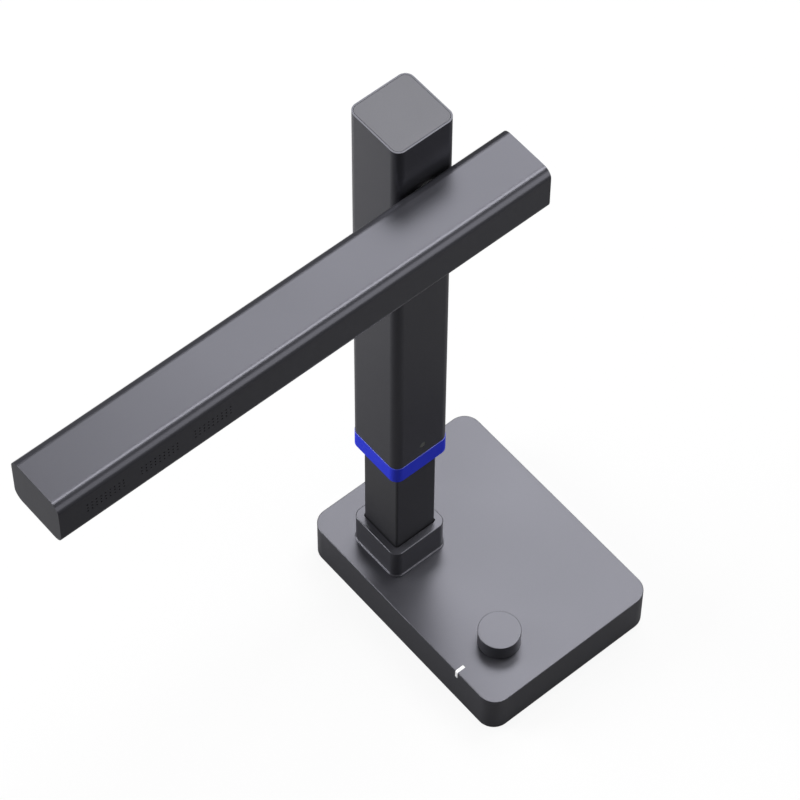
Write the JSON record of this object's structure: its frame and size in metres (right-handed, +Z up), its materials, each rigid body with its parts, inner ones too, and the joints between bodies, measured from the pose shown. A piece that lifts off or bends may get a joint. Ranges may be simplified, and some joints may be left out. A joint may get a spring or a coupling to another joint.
{
  "type": "overhead document scanner",
  "caption": "Overhead document scanner: flat base with a push-and-turn knob, telescoping square mast and a folding head bar with a downward camera and lamp.",
  "frame": {"origin": "on the desk, under the centre of the base; the middle of the base pad's lower face", "axes": "+Z up, +X to the user's right, -Y towards the user; the head bar reaches to -X over the document"},
  "size_m": [0.3599, 0.1688, 0.4478],
  "materials": {
    "grey_aluminium": "satin anodised, fine bead-blasted grain",
    "dark_aluminium": "satin anodised, darker",
    "dark_plastic": "matte moulded",
    "blue_plastic": "satin moulded",
    "plate_steel": "dull zinc plated",
    "weight_iron": "painted casting",
    "bright_steel": "turned",
    "rivet_grey": "matte",
    "brass_parts": "turned",
    "soft_pad": "matte silicone",
    "black_plastic": "matte",
    "cable_black": "matte jacket",
    "white_plastic": "low-friction moulded",
    "ribbon_white": "flat cable film",
    "board_green": "solder mask",
    "board_white": "white solder mask",
    "lamp_chip": "phosphor chip",
    "lamp_frost": "frosted translucent",
    "status_light": "clear white light pipe, lit",
    "dark_glass": "coated",
    "lens_glass": "coated"
  },
  "bodies": {
    "base": {"base_cover": "grey_aluminium", "base_plate": "plate_steel", "base_pad": "soft_pad", "base_screws": "bright_steel", "counterweight": "weight_iron", "main_board": "board_green", "board_standoffs": "brass_parts", "board_screws": "bright_steel", "usb_c_port": "bright_steel", "mast_cable": "cable_black", "knob_ribbon": "ribbon_white", "knob_board": "board_green", "encoder_body": "bright_steel", "encoder_nut": "bright_steel", "status_led": "lamp_chip", "light_pipe": "status_light", "collar": "dark_plastic", "column_foot": "dark_aluminium", "column": "dark_aluminium", "column_screws": "bright_steel", "column_guide": "white_plastic", "slide_stop": "soft_pad", "coiled_lead": "cable_black"},
    "knob_plunger": {"encoder_plunger": "white_plastic"},
    "knob": {"encoder_shaft": "bright_steel", "knob_cap": "grey_aluminium", "knob_insert": "black_plastic"},
    "mast_sleeve": {"sleeve": "grey_aluminium", "sleeve_cap": "grey_aluminium", "sleeve_ring": "blue_plastic", "ring_rivet": "rivet_grey", "friction_pads": "white_plastic", "pad_springs": "bright_steel", "hinge_block": "dark_aluminium", "block_screws": "bright_steel", "hinge_bush": "brass_parts", "stop_pin": "bright_steel"},
    "head_bar": {"hinge_shaft": "bright_steel", "flange_screws": "bright_steel", "hinge_spacer": "white_plastic", "stop_disc": "bright_steel", "disc_springs": "bright_steel", "lock_nut": "bright_steel", "bar_housing": "grey_aluminium", "bar_frame": "plate_steel", "bar_cover": "black_plastic", "bar_screws": "bright_steel", "led_board": "board_white", "leds": "lamp_chip", "led_diffuser": "lamp_frost", "camera_board": "board_green", "bar_board_screws": "bright_steel", "lens_holder": "black_plastic", "lens_barrel": "black_plastic", "lens_glass": "lens_glass", "camera_window": "dark_glass", "head_cable": "cable_black", "speaker_1": "black_plastic", "speaker_2": "black_plastic", "speaker_3": "black_plastic"}
  },
  "joints": [
    {"name": "mast_slide", "type": "slide", "parent": "base", "child": "mast_sleeve", "axis": [0, 0, 1], "range_m": [-0.0805, 0.04], "deforming": ["coiled_lead"]},
    {"name": "bar_fold", "type": "hinge", "parent": "mast_sleeve", "child": "head_bar", "pos_m": [-0.02925, 0, 0.3993], "axis": [0, -1, 0], "range_deg": [0, 90]},
    {"name": "knob_press", "type": "slide", "parent": "base", "child": "knob_plunger", "axis": [0, 0, -1], "range_m": [0, 0.0005], "stiffness_N_per_m": 3000, "springref_m": -0.0003},
    {"name": "knob_turn", "type": "hinge", "parent": "knob_plunger", "child": "knob", "pos_m": [-0.02925, -0.0518, 0.0318], "axis": [0, 0, 1], "continuous": true}
  ]
}
